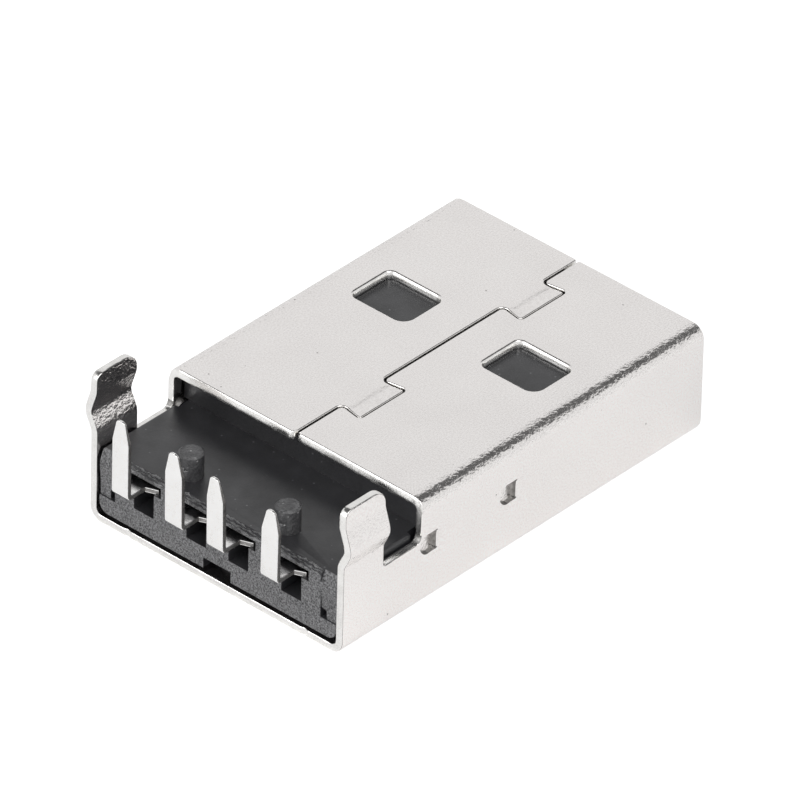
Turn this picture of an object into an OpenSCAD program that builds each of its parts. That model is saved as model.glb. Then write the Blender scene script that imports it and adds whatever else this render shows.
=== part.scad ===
// USB 2.0 type A plug for a circuit board: a folded sheet shell round a moulded
// insulator that carries four bent contacts. The plug lies on the flat face of its
// shell, with the solder tails, the board pegs and the shell's legs pointing up.
// All lengths are millimetres. +X runs to the mouth, +Z to the face with the seam.

/* [Shell] */
// Length of the shell from its rear edge to the mouth
shell_len = 18.8; // [17.5:0.1:21]
// Width of the shell outside
shell_w = 12.0; // [11.8:0.1:13]
// Height of the shell outside
shell_h = 4.5; // [4.4:0.05:5]
// Thickness of the sheet
sheet_t = 0.3; // [0.2:0.05:0.35]
// Outside radius of the two bends beside the flat face
floor_bend_r = 0.55; // [0.4:0.05:0.9]
// Outside radius of the two bends beside the face with the seam
roof_bend_r = 0.5; // [0.4:0.05:0.7]
// Distance from the rear edge to the rear edge of the roof
roof_setback = 3.96; // [3.5:0.1:4.3]
// How far the side walls stop below the board seat, between leg and roof
notch_drop = 0.26; // [0.1:0.05:0.5]
// Radius in the front corner of that notch
notch_r = 0.3; // [0.1:0.05:0.4]

/* [Seam] */
// Width of the gap where the two edges of the sheet meet
seam_gap = 0.06; // [0.04:0.01:0.12]
// Radius on the corners of the sheet at the rear end of the seam
seam_corner_r = 0.2; // [0.1:0.05:0.4]
// Distance from the rear edge to the middle of the rear dovetail
rear_tab_x = 7.45; // [6.5:0.1:9]
// Distance from the mouth to the middle of the front dovetail
front_tab_x = 2.97; // [2.2:0.1:3.4]
// Width of a dovetail at its root
tab_root_w = 2.06; // [1.5:0.1:2.4]
// How much a dovetail widens on each side towards its nose
tab_flare = 0.17; // [0.05:0.01:0.3]
// How far a dovetail reaches across the seam
tab_reach = 1.0; // [0.6:0.1:1.4]
// Depth to which the dovetails are coined
coin_depth = 0.1; // [0.03:0.01:0.15]
// Distance from the seam to the fold where the coined face starts
coin_start = 0.25; // [0.1:0.05:0.4]

/* [Windows] */
// Distance from the mouth to the front edge of the windows
window_x = 5.16; // [4.6:0.02:5.6]
// Length of a window along the plug
window_l = 2.0; // [1.5:0.1:2.5]
// Width of a window across the plug
window_w = 2.5; // [1.8:0.1:2.8]
// Distance from the middle of the plug to the middle of a window
window_y = 3.08; // [2.8:0.02:3.3]
// Radius of the window corners
window_r = 0.4; // [0.1:0.05:0.6]

/* [Side lances] */
// Distance from the rear edge to the sheared end of the rear lances
rear_lance_x = 4.76; // [4.7:0.05:5.6]
// Distance from the rear edge to the sheared end of the front lances
front_lance_x = 8.88; // [7.5:0.1:9.2]
// Length and height of a lance
lance_d = 0.82; // [0.5:0.02:0.9]
// Height of the middle of the lances above the flat face
lance_z = 2.6; // [2.2:0.05:2.8]
// How far the sheared end of a lance is pushed in
lance_depth = 0.2; // [0.1:0.02:0.25]

/* [Legs] */
// Width of a leg along the plug
leg_w = 2.08; // [1.6:0.02:2.4]
// Height of the legs above the board seat
leg_rise = 3.1; // [2.6:0.05:3.6]
// How far the kink stands out of the side wall
kink_out = 0.3; // [0.1:0.02:0.4]
// How far the leg stands out above its kink
leg_set = 0.04; // [0:0.01:0.1]
// Height of the start of the kink above the board seat
kink_low = 0.7; // [0.4:0.05:0.9]
// Height of the peak of the kink above the board seat
kink_peak = 1.4; // [1.1:0.05:1.6]
// Height of the end of the kink above the board seat
kink_high = 2.35; // [1.9:0.05:2.5]
// Radius on the rear corner of a leg's end
leg_rear_r = 0.35; // [0.1:0.05:0.5]
// Radius on the front corner of a leg's end
leg_front_r = 0.6; // [0.2:0.05:0.8]

/* [Insulator] */
// Height of the board seat above the flat face
seat_z = 3.05; // [2.98:0.01:3.2]
// Clear height between the flat face's sheet and the tongue
cavity_h = 1.95; // [1.9:0.01:2.02]
// Depth of the mouth down to the front face of the block
cavity_depth = 8.9; // [8.2:0.1:9]
// Distance from the mouth to the end of the tongue
tongue_recess = 0.38; // [0.2:0.02:0.6]
// Chamfer on the lower edge of the tongue's end
tongue_chamfer = 0.4; // [0.1:0.05:0.6]
// Distance from the rear edge of the shell to the rear face of the block
block_inset = 0.09; // [0:0.01:0.2]
// Clearance between the insulator and each side wall
side_clear = 0.08; // [0.03:0.01:0.15]
// Height of the rails that carry the block on the flat face's sheet
rail_h = 0.13; // [0.05:0.01:0.2]
// Width of a rail
rail_w = 1.0; // [0.6:0.1:1.4]
// Distance from the middle of the plug to the middle of a rail
rail_y = 3.0; // [1.5:0.1:4]
// How far the rails stop short of the rear face of the block
rail_setback = 0.8; // [0.4:0.1:2]
// How far the roof reaches back over the riser of the block
riser_cover = 0.44; // [0.2:0.02:0.8]
// Radius on the lower corners of the block
block_corner_r = 0.4; // [0.3:0.05:0.6]
// Radius on the upper corners of the block and the tongue
top_corner_r = 0.25; // [0.15:0.05:0.4]
// Height of the bevel on the rear edge of the board seat
seat_bevel_h = 0.18; // [0.08:0.01:0.19]
// Length of that bevel
seat_bevel_l = 0.2; // [0.1:0.02:0.4]
// Height of the larger bevel at each end of that edge
end_bevel_h = 0.5; // [0.3:0.05:0.6]
// Width of the panel at each end of the rear face
panel_w = 0.74; // [0.5:0.02:0.8]
// Height of the ledge under that panel above the flat face
panel_ledge_z = 1.12; // [1:0.02:1.6]
// Height of the top of that panel above the flat face
panel_top_z = 2.4; // [2.2:0.05:2.5]
// Depth of that panel over its lower part
panel_depth = 0.06; // [0.03:0.01:0.1]
// Depth of the pit in the lower inner corner of that panel
panel_foot_depth = 0.35; // [0.15:0.05:0.5]
// Height of that pit above the ledge
panel_foot_h = 0.4; // [0.3:0.1:0.9]
// Width of that pit
panel_foot_w = 0.25; // [0.15:0.05:0.4]
// Width of the notch in the lower edge of the rear face
foot_notch_w = 1.3; // [0.8:0.1:1.8]
// Height of that notch above the flat face
foot_notch_z = 0.87; // [0.6:0.01:1]
// Depth of that notch
foot_notch_l = 1.0; // [0.5:0.1:1.5]

/* [Board pegs] */
// Diameter of a peg
peg_d = 0.94; // [0.7:0.02:1.1]
// Height of the pegs above the board seat
peg_h = 1.0; // [0.7:0.05:1.4]
// Distance between the pegs
peg_pitch = 4.6; // [3.6:0.1:5.4]
// Distance from the rear edge of the shell to the pegs
peg_x = 1.18; // [1:0.02:1.6]
// Chamfer on the end of a peg
peg_chamfer = 0.075; // [0.03:0.005:0.15]

/* [Contacts] */
// Distance from the middle of the plug to the two inner contacts
inner_y = 1.0; // [0.95:0.01:1.05]
// Distance from the middle of the plug to the two outer contacts
outer_y = 3.5; // [3.3:0.01:3.6]
// Thickness of the contact strip
contact_t = 0.2; // [0.15:0.01:0.22]
// Width of a contact on the tongue
blade_w = 1.0; // [0.8:0.02:1.1]
// Width of a contact inside the block
strip_w = 1.16; // [1.12:0.01:1.3]
// Width of a solder tail
tail_w = 0.72; // [0.5:0.02:0.8]
// How far a solder tail lies to the side of its contact
tail_shift = 0.24; // [0:0.01:0.26]
// Distance that the solder tails stand behind the shell's rear edge
tail_x = 0.87; // [0.6:0.01:1.2]
// Height of the solder tails above the board seat
tail_rise = 2.45; // [2.2:0.05:3.2]
// Length of the taper on the tip of a solder tail
tip_l = 0.9; // [0.4:0.05:1.2]
// Width of the tip of a solder tail
tip_w = 0.36; // [0.2:0.01:0.5]
// Thickness of the tip of a solder tail
tip_t = 0.1; // [0.05:0.01:0.14]
// Outside radius of the bend at the foot of a solder tail
foot_r = 0.25; // [0.24:0.01:0.4]
// Distance from the shell's rear edge to the shoulder beside a solder tail
shoulder_x = 0.04; // [-0.1:0.01:0.1]
// How much further forward the far end of that shoulder lies
shoulder_slant = 0.18; // [0:0.01:0.3]
// How far a contact steps down inside the block
jog_h = 0.13; // [0.05:0.01:0.19]
// Distance from the shell's rear edge to the start of that step
jog_x = 3.0; // [2.4:0.1:4]
// Length of that step along the plug
jog_l = 0.8; // [0.4:0.1:1.5]
// How far the contacts stand proud of the tongue
contact_proud = 0.05; // [0.02:0.01:0.1]
// Reach of the two outer contacts from the front face of the block
outer_reach = 7.41; // [6.8:0.01:7.6]
// Reach of the two inner contacts from the front face of the block
inner_reach = 6.41; // [5.8:0.01:6.6]
// Length of the hook at the front end of a contact
hook_l = 0.5; // [0.3:0.05:0.8]
// How far that hook sinks into the tongue
hook_h = 0.3; // [0.1:0.05:0.5]
// Clearance beside and above a contact in the insulator
contact_clear = 0.03; // [0.01:0.005:0.04]
// Height of the contact slots above the contacts
slot_h = 0.23; // [0.15:0.01:0.3]
// Width of a contact slot
slot_w = 1.6; // [1.36:0.02:1.7]
// Width of the well under each contact slot
well_w = 0.94; // [0.7:0.02:1.1]
// Height of the bottom of the wells above the flat face
well_z = 1.32; // [1:0.02:1.6]
// Depth of the slots and wells from the rear face
slot_l = 1.3; // [0.8:0.1:2]

/* [Hidden] */
$fn = 64;

cut = 0.5;                                  // how far a cut runs past the face it opens
inner_w = shell_w - 2 * sheet_t;
roof_z = shell_h - sheet_t;                 // underside of the roof
notch_z = seat_z - notch_drop;              // top of the side wall beside the legs
leg_top = seat_z + leg_rise;
tongue_z = sheet_t + cavity_h;              // lower face of the tongue
insulator_w = inner_w - 2 * side_clear;
block_z = sheet_t + rail_h;                 // lower face of the block
block_end = shell_len - cavity_depth;       // front face of the block
tongue_end = shell_len - tongue_recess;
riser_x = roof_setback + riser_cover;
blade_z = tongue_z - contact_proud;         // lower face of a contact on the tongue
strip_z = blade_z + jog_h;                  // lower face of a contact behind its step
slot_top = strip_z + contact_t + slot_h;
step_end = jog_x + jog_l;                   // front end of a contact's step
neck_x = step_end + contact_t;              // where a strip narrows to its blade
strip_channel_w = strip_w + 2 * contact_clear;
blade_channel_w = blade_w + 2 * contact_clear;
bend_steps = 6;                             // flats in the bend of a solder tail

// The unit vector along v
function unit(v) = v / norm(v);

// The vector v turned a quarter turn to the left
function left_of(v) = [-v[1], v[0]];

// The step that moves corner i of a path one unit to its left on both sides
function mitre(path, i) =
    let (
        last = len(path) - 1,
        before = unit(path[max(i, 1)] - path[max(i, 1) - 1]),
        after = unit(path[min(i, last - 1) + 1] - path[min(i, last - 1)]),
        sum = left_of(before) + left_of(after)
    )
    2 * sum / (sum * sum);

// The outline of a strip of even thickness to the left of a path
function strip(path, thickness) = concat(
    path,
    [for (i = [len(path) - 1:-1:0]) path[i] + thickness * mitre(path, i)]
);

// Points on an arc about a centre, from one angle to another
function arc(centre, radius, from, to) = [
    for (i = [0:bend_steps])
        let (angle = from + (to - from) * i / bend_steps)
        centre + radius * [cos(angle), sin(angle)]
];

// Moves x = 0 from the shell's rear edge to the middle of its length
module from_middle() {
    translate([-shell_len / 2, 0, 0])
        children();
}

// Runs an outline drawn in Y and Z along X
module along_x(from, to) {
    translate([from, 0, 0])
        rotate([90, 0, 90])
            linear_extrude(to - from)
                children();
}

// Runs an outline drawn in X and Z across Y, to both sides of a middle plane
module across_y(middle, width) {
    translate([0, middle, 0])
        rotate([90, 0, 0])
            linear_extrude(width, center = true)
                children();
}

// A block between two corners
module block(low, high) {
    translate(low)
        cube(high - low);
}

// Its child and the child's mirror image on the other side of the plug
module both_sides() {
    children();
    mirror([0, 1, 0])
        children();
}

// An outline standing on the height low, with round lower and upper corners
module upright_outline(width, low, high, low_r, high_r) {
    translate([-width / 2, low + low_r])
        square([width, high - low - low_r - high_r]);
    translate([-width / 2 + low_r, low])
        square([width - 2 * low_r, low_r * 2]);
    translate([-width / 2 + high_r, high - 2 * high_r])
        square([width - 2 * high_r, high_r * 2]);
    for (side = [-1, 1]) {
        translate([side * (width / 2 - low_r), low + low_r])
            circle(low_r);
        translate([side * (width / 2 - high_r), high - high_r])
            circle(high_r);
    }
}

// A rectangle from the origin with four round corners
module round_rectangle(length, width, radius) {
    translate([radius, 0])
        square([length - 2 * radius, width]);
    translate([0, radius])
        square([length, width - 2 * radius]);
    for (x = [radius, length - radius], y = [radius, width - radius])
        translate([x, y])
            circle(radius);
}

// ---- shell ----

// The closed tube that the folded sheet makes
module tube() {
    along_x(0, shell_len)
        difference() {
            upright_outline(shell_w, 0, shell_h, floor_bend_r, roof_bend_r);
            upright_outline(
                inner_w, sheet_t, roof_z,
                floor_bend_r - sheet_t, roof_bend_r - sheet_t
            );
        }
}

// Clears everything above the side walls behind the roof, with a round front corner
module rear_opening() {
    across_y(0, shell_w + 2 * cut) {
        translate([-cut, notch_z])
            square([roof_setback + cut - notch_r, shell_h]);
        translate([-cut, notch_z + notch_r])
            square([roof_setback + cut, shell_h]);
        translate([roof_setback - notch_r, notch_z + notch_r])
            circle(notch_r);
    }
}

// The side view of a leg, with its two round end corners
module leg_outline() {
    low = notch_z - cut;
    translate([0, low])
        square([leg_w, leg_top - leg_front_r - low]);
    translate([leg_rear_r, low])
        square([leg_w - leg_rear_r - leg_front_r, leg_top - low]);
    translate([0, low])
        square([leg_rear_r * 2, leg_top - leg_rear_r - low]);
    translate([leg_rear_r, leg_top - leg_rear_r])
        circle(leg_rear_r);
    translate([leg_w - leg_front_r, leg_top - leg_front_r])
        circle(leg_front_r);
}

// A leg: the wall runs up, kinks outwards to grip its slot and runs on to its end
module leg() {
    wall = shell_w / 2;
    outer_face = [
        [wall, notch_z - cut],
        [wall, seat_z + kink_low],
        [wall + kink_out, seat_z + kink_peak],
        [wall + leg_set, seat_z + kink_high],
        [wall + leg_set, leg_top + cut]
    ];
    intersection() {
        along_x(0, leg_w)
            polygon(strip(outer_face, sheet_t));
        across_y(wall, 4 * cut)
            leg_outline();
    }
}

// The corners of a dovetail about the middle of its root, from rear to front
function tab_path(middle) = [
    [middle - tab_root_w / 2, 0],
    [middle - tab_root_w / 2 - tab_flare, -tab_reach],
    [middle + tab_root_w / 2 + tab_flare, -tab_reach],
    [middle + tab_root_w / 2, 0]
];

// The gap between the two edges of the sheet, round both dovetails
module seam() {
    edge = concat(
        [[-cut, 0]],
        tab_path(rear_tab_x),
        tab_path(shell_len - front_tab_x),
        [[shell_len + cut, 0]]
    );
    translate([0, -seam_gap / 2, roof_z - cut])
        linear_extrude(sheet_t + 2 * cut)
            polygon(strip(edge, seam_gap));
}

// The shallow coined face of a dovetail, from its fold out to its nose
module coined_face(middle) {
    widen = tab_flare * coin_start / tab_reach;
    translate([0, 0, shell_h - coin_depth])
        linear_extrude(coin_depth + cut)
            polygon([
                [middle - tab_root_w / 2 - widen, -coin_start],
                [middle - tab_root_w / 2 - tab_flare, -tab_reach],
                [middle + tab_root_w / 2 + tab_flare, -tab_reach],
                [middle + tab_root_w / 2 + widen, -coin_start]
            ]);
}

// Rounds the corner of the sheet at the rear end of the seam
module seam_corner() {
    translate([roof_setback, seam_gap / 2, roof_z - cut])
        linear_extrude(sheet_t + 2 * cut)
            difference() {
                translate([-cut, 0])
                    square([seam_corner_r + cut, seam_corner_r]);
                translate([seam_corner_r, seam_corner_r])
                    circle(seam_corner_r);
            }
}

// One window through the roof and through the sheet below it
module window() {
    translate([shell_len - window_x - window_l, window_y - window_w / 2, -cut])
        linear_extrude(shell_h + 2 * cut)
            round_rectangle(window_l, window_w, window_r);
}

// The side view of a lance: round behind, sheared straight in front
module lance_outline(end) {
    radius = lance_d / 2;
    translate([end - radius, lance_z])
        circle(radius);
    translate([end - radius, lance_z - radius])
        square([radius, lance_d]);
}

// The wedge that a lance moves, hung from the face at y = face
module lance_wedge(end, face) {
    intersection() {
        translate([0, 0, lance_z - lance_d])
            linear_extrude(2 * lance_d)
                polygon([
                    [end - lance_d, face],
                    [end, face - lance_depth],
                    [end, face]
                ]);
        across_y(face, 2 * cut)
            lance_outline(end);
    }
}

module shell() {
    lance_ends = [rear_lance_x, front_lance_x];
    color("lightgrey")
        from_middle()
            difference() {
                union() {
                    difference() {
                        tube();
                        rear_opening();
                    }
                    both_sides() {
                        leg();
                        for (end = lance_ends)
                            lance_wedge(end, inner_w / 2);
                    }
                }
                seam();
                for (middle = [rear_tab_x, shell_len - front_tab_x])
                    coined_face(middle);
                both_sides() {
                    seam_corner();
                    window();
                    for (end = lance_ends)
                        lance_wedge(end, shell_w / 2);
                }
            }
}

// ---- insulator ----

// The block behind the mouth, low under the board and full height under the roof
module block_body() {
    along_x(block_inset, block_end)
        upright_outline(insulator_w, block_z, seat_z, block_corner_r, top_corner_r / 2);
    along_x(riser_x, block_end)
        upright_outline(insulator_w, block_z, roof_z, block_corner_r, top_corner_r);
    for (side = [-1, 1])
        block(
            [block_inset + rail_setback, side * rail_y - rail_w / 2, sheet_t],
            [block_end, side * rail_y + rail_w / 2, block_z + rail_h]
        );
}

// The tongue that carries the contacts, with its lower front edge chamfered
module tongue() {
    difference() {
        along_x(block_end - cut, tongue_end)
            upright_outline(insulator_w, tongue_z, roof_z, top_corner_r, top_corner_r);
        across_y(0, shell_w)
            polygon([
                [tongue_end - tongue_chamfer, tongue_z - cut],
                [tongue_end + cut, tongue_z - cut],
                [tongue_end + cut, tongue_z + tongue_chamfer + cut],
                [tongue_end - tongue_chamfer, tongue_z]
            ]);
    }
}

// A board peg with its chamfered end
module peg() {
    straight = peg_h - peg_chamfer;
    translate([peg_x, peg_pitch / 2, seat_z - cut])
        cylinder(h = straight + cut, d = peg_d);
    translate([peg_x, peg_pitch / 2, seat_z + straight])
        cylinder(h = peg_chamfer, d1 = peg_d, d2 = peg_d - 2 * peg_chamfer);
}

// The slot and well behind a contact, and the channel and groove along it
module contact_space(middle, reach) {
    low_channel = blade_z + contact_t + contact_clear;
    high_channel = strip_z + contact_t + contact_clear;
    across_y(middle, slot_w)
        translate([-cut, strip_z])
            square([block_inset + slot_l + cut, slot_top - strip_z]);
    across_y(middle, well_w)
        translate([-cut, well_z])
            square([block_inset + slot_l + cut, slot_top - well_z]);
    across_y(middle, strip_channel_w) {
        translate([0, strip_z])
            square([jog_x, high_channel - strip_z]);
        translate([jog_x, blade_z])
            square([neck_x - jog_x + contact_clear, high_channel - blade_z]);
    }
    across_y(middle, blade_channel_w) {
        translate([jog_x, blade_z])
            square([block_end + reach - jog_x + contact_clear, low_channel - blade_z]);
        translate([block_end, blade_z - cut])
            square([reach + contact_clear, cut + contact_t]);
        translate([block_end + reach - hook_l - contact_t, blade_z])
            square([
                hook_l + contact_t + contact_clear,
                hook_h + contact_t + contact_clear
            ]);
    }
}

// The pocket in the block's side that a lance reaches into
module lance_pocket(end) {
    face = inner_w / 2 - lance_depth - side_clear;
    reach = lance_d / 2 + side_clear;
    block(
        [end - lance_d - side_clear, face, lance_z - reach],
        [end + side_clear, shell_w / 2, lance_z + reach]
    );
}

// The bevel along the rear edge of the board seat
module seat_bevel(height, length, from, to) {
    across_y((from + to) / 2, to - from)
        polygon([
            [block_inset - cut, seat_z - height - cut * height / length],
            [block_inset + length + cut, seat_z + cut * height / length],
            [block_inset - cut, seat_z + cut * height / length]
        ]);
}

// The shallow panel sunk into the end of the rear face, with the pit beside its ledge
module end_panel() {
    edge = insulator_w / 2;
    across_y(edge - panel_w / 2 + cut / 2, panel_w + cut)
        polygon([
            [block_inset - cut, panel_ledge_z],
            [block_inset + panel_depth, panel_ledge_z],
            [block_inset + panel_depth, panel_ledge_z + panel_foot_h],
            [block_inset, panel_top_z],
            [block_inset - cut, panel_top_z]
        ]);
    across_y(edge - panel_w + panel_foot_w / 2, panel_foot_w)
        polygon([
            [block_inset - cut, panel_ledge_z],
            [block_inset + panel_foot_depth, panel_ledge_z],
            [block_inset + panel_depth, panel_ledge_z + panel_foot_h],
            [block_inset - cut, panel_ledge_z + panel_foot_h]
        ]);
}

module insulator() {
    edge = insulator_w / 2;
    color("dimgrey")
        from_middle()
            difference() {
                union() {
                    block_body();
                    tongue();
                    both_sides()
                        peg();
                }
                for (side = [-1, 1]) {
                    contact_space(side * inner_y, inner_reach);
                    contact_space(side * outer_y, outer_reach);
                }
                seat_bevel(seat_bevel_h, seat_bevel_l, -edge - cut, edge + cut);
                both_sides() {
                    seat_bevel(end_bevel_h, seat_bevel_l, edge - panel_w, edge + cut);
                    end_panel();
                    lance_pocket(rear_lance_x);
                    lance_pocket(front_lance_x);
                }
                block(
                    [block_inset - cut, -foot_notch_w / 2, block_z - cut],
                    [block_inset + foot_notch_l, foot_notch_w / 2, foot_notch_z]
                );
            }
}

// ---- contacts ----

// The side view of a solder tail and its foot, up to the strip in the block
module tail_profile() {
    back = -tail_x;
    top = seat_z + tail_rise;
    thinning = (contact_t - tip_t) / 2;
    bend = [back + foot_r, strip_z + foot_r];
    polygon(concat(
        [[back + thinning, top], [back, top - tip_l]],
        arc(bend, foot_r, 180, 270),
        [[block_inset + slot_l, strip_z], [block_inset + slot_l, strip_z + contact_t]],
        arc(bend, foot_r - contact_t, 270, 180),
        [[back + contact_t, top - tip_l], [back + contact_t - thinning, top]]
    ));
}

// The rear view of a solder tail, tapered to its tip
module tail_outline() {
    top = seat_z + tail_rise;
    polygon([
        [-tail_w / 2, strip_z - cut],
        [tail_w / 2, strip_z - cut],
        [tail_w / 2, top - tip_l],
        [tip_w / 2, top],
        [-tip_w / 2, top],
        [-tail_w / 2, top - tip_l]
    ]);
}

// The plan view of a contact in the block, with its slanted shoulder
module shoulder_outline() {
    half = strip_w / 2;
    polygon([
        [shoulder_x, half],
        [shoulder_x, tail_shift - tail_w / 2],
        [shoulder_x + shoulder_slant, -half],
        [neck_x + cut, -half],
        [neck_x + cut, half]
    ]);
}

// A contact: the tail, the strip that steps down in the block, and the blade
module contact(middle, reach) {
    front = block_end + reach;
    strip_path = [
        [-tail_x, strip_z],
        [jog_x, strip_z],
        [step_end, blade_z],
        [neck_x, blade_z]
    ];
    blade_path = [
        [step_end, blade_z],
        [front - hook_l, blade_z],
        [front, blade_z + hook_h]
    ];
    color("gold")
        from_middle()
            translate([0, middle, 0]) {
                intersection() {
                    across_y(tail_shift, tail_w)
                        tail_profile();
                    translate([0, tail_shift, 0])
                        along_x(-tail_x - cut, jog_x)
                            tail_outline();
                }
                intersection() {
                    across_y(0, strip_w)
                        polygon(strip(strip_path, contact_t));
                    linear_extrude(roof_z)
                        shoulder_outline();
                }
                across_y(0, blade_w)
                    polygon(strip(blade_path, contact_t));
            }
}

module power_contact() {
    contact(-outer_y, outer_reach);
}

module data_minus_contact() {
    contact(-inner_y, inner_reach);
}

module data_plus_contact() {
    contact(inner_y, inner_reach);
}

module ground_contact() {
    contact(outer_y, outer_reach);
}

shell();
insulator();
power_contact();
data_minus_contact();
data_plus_contact();
ground_contact();
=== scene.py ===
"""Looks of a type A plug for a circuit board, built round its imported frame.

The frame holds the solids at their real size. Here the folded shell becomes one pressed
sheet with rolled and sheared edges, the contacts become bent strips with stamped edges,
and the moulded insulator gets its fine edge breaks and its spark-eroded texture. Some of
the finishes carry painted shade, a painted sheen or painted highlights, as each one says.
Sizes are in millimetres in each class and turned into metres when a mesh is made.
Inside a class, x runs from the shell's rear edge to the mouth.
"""

from __future__ import annotations

import logging
import math
from dataclasses import dataclass
from enum import Enum

import bmesh
import bpy
import numpy as np
from mathutils import Matrix, Vector
from mathutils.geometry import delaunay_2d_cdt


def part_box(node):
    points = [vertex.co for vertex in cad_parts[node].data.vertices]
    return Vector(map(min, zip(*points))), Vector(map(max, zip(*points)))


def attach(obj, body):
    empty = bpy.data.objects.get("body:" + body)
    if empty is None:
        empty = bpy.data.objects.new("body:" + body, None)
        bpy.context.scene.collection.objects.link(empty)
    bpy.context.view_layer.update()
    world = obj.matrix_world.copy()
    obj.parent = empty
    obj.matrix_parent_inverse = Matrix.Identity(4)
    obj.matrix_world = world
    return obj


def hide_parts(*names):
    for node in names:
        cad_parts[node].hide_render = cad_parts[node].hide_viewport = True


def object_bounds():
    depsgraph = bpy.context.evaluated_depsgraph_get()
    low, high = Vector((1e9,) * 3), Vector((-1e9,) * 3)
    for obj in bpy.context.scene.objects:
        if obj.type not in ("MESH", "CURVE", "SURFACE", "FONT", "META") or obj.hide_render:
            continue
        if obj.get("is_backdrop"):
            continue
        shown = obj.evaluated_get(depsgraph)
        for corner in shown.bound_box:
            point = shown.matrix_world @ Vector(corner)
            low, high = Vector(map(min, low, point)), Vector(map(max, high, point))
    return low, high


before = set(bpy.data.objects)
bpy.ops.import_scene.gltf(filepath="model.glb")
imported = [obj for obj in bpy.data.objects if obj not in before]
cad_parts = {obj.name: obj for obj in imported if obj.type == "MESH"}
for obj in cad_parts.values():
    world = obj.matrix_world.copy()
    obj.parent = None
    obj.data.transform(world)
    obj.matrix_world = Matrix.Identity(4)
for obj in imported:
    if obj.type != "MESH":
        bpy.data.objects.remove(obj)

MM = 0.001
BODY = "root"
CAD_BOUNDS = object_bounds()
CAD_REAR = np.array([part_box("shell")[0].x, 0.0, 0.0])
LOG = logging.getLogger("plug")


# ---------------------------------------------------------------- curves and meshes


def unit(vectors: np.ndarray) -> np.ndarray:
    """Vectors of length one along the given ones.

    Args:
        vectors: Array of shape (..., n).

    Returns:
        Each vector divided by its length.
    """
    return vectors / np.linalg.norm(vectors, axis=-1, keepdims=True)


def smooth_step(value: np.ndarray) -> np.ndarray:
    """The cubic 3t^2 - 2t^3 that rises from 0 at value 0 to 1 at value 1.

    Args:
        value: Any array.

    Returns:
        Array of the same shape, between 0 and 1.
    """
    t = np.clip(value, 0.0, 1.0)
    return t * t * (3.0 - 2.0 * t)


def fillet(corner: np.ndarray, before: np.ndarray, after: np.ndarray, radius: float) -> np.ndarray:
    """The arc that rounds one corner of a path.

    The arc touches both legs at radius / tan(half angle) from the corner, about a centre
    on the bisector at radius / sin(half angle).

    Args:
        corner: The corner point.
        before: The point that the path comes from.
        after: The point that the path goes to.
        radius: The radius of the arc.

    Returns:
        Points on the arc, from the first leg to the second.
    """
    back, ahead = unit(before - corner), unit(after - corner)
    half = 0.5 * math.acos(float(np.clip(back @ ahead, -1.0, 1.0)))
    if radius <= 0.0 or half > math.radians(89.5):
        return corner[None, :]
    centre = corner + unit(back + ahead) * radius / math.sin(half)
    first = corner + back * radius / math.tan(half) - centre
    last = corner + ahead * radius / math.tan(half) - centre
    start = math.atan2(first[1], first[0])
    turn = (math.atan2(last[1], last[0]) - start + math.pi) % math.tau - math.pi
    angles = start + np.linspace(0.0, turn, max(3, int(abs(turn) / math.radians(9.0)) + 1))
    return centre + radius * np.column_stack((np.cos(angles), np.sin(angles)))


def rounded(corners: list[tuple[float, float, float]], closed: bool) -> np.ndarray:
    """A path through corners, each rounded to its own radius.

    Args:
        corners: (first coordinate, second coordinate, radius) of each corner.
        closed: Whether the path returns to its first corner.

    Returns:
        Points of shape (n, 2).
    """
    table = np.array(corners, float)
    points, radii = table[:, :2], table[:, 2]
    count = len(points)
    parts = []
    for i in range(count):
        if not closed and i in (0, count - 1):
            parts.append(points[i][None, :])
        else:
            parts.append(fillet(points[i], points[i - 1], points[(i + 1) % count], radii[i]))
    return np.concatenate(parts)


def divided(path: np.ndarray, step: float, closed: bool) -> np.ndarray:
    """A path whose longer stretches are cut into equal steps.

    A stretch of length l gets ceil(l / step) steps, and every corner stays.

    Args:
        path: Points of shape (n, 2).
        step: The longest step allowed.
        closed: Whether the path returns to its first point.

    Returns:
        Points of shape (m, 2).
    """
    ends = np.roll(path, -1, axis=0) if closed else path[1:]
    starts = path if closed else path[:-1]
    lengths = np.linalg.norm(ends - starts, axis=1)
    keep = lengths > 1e-6
    starts, ends, lengths = starts[keep], ends[keep], lengths[keep]
    counts = np.maximum(1, np.ceil(lengths / step)).astype(int)
    which = np.repeat(np.arange(len(counts)), counts)
    first = np.repeat(np.cumsum(counts) - counts, counts)
    share = (np.arange(len(which)) - first) / counts[which]
    result = starts[which] + (ends - starts)[which] * share[:, None]
    return result if closed else np.vstack((result, path[-1:]))


def left_normals(path: np.ndarray, closed: bool) -> np.ndarray:
    """Mitred normals to the left of a path.

    With n1 and n2 the unit normals of the two stretches at a point, the mitre is
    2 (n1 + n2) / |n1 + n2|^2, which keeps an offset path at one distance.

    Args:
        path: Points of shape (n, 2).
        closed: Whether the path returns to its first point.

    Returns:
        Vectors of shape (n, 2).
    """
    along = np.roll(path, -1, axis=0) - path
    if not closed:
        along[-1] = along[-2]
    turned = unit(np.column_stack((-along[:, 1], along[:, 0])))
    previous = np.roll(turned, 1, axis=0)
    if not closed:
        previous[0] = turned[0]
    both = turned + previous
    return 2.0 * both / np.sum(both * both, axis=1, keepdims=True)


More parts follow.
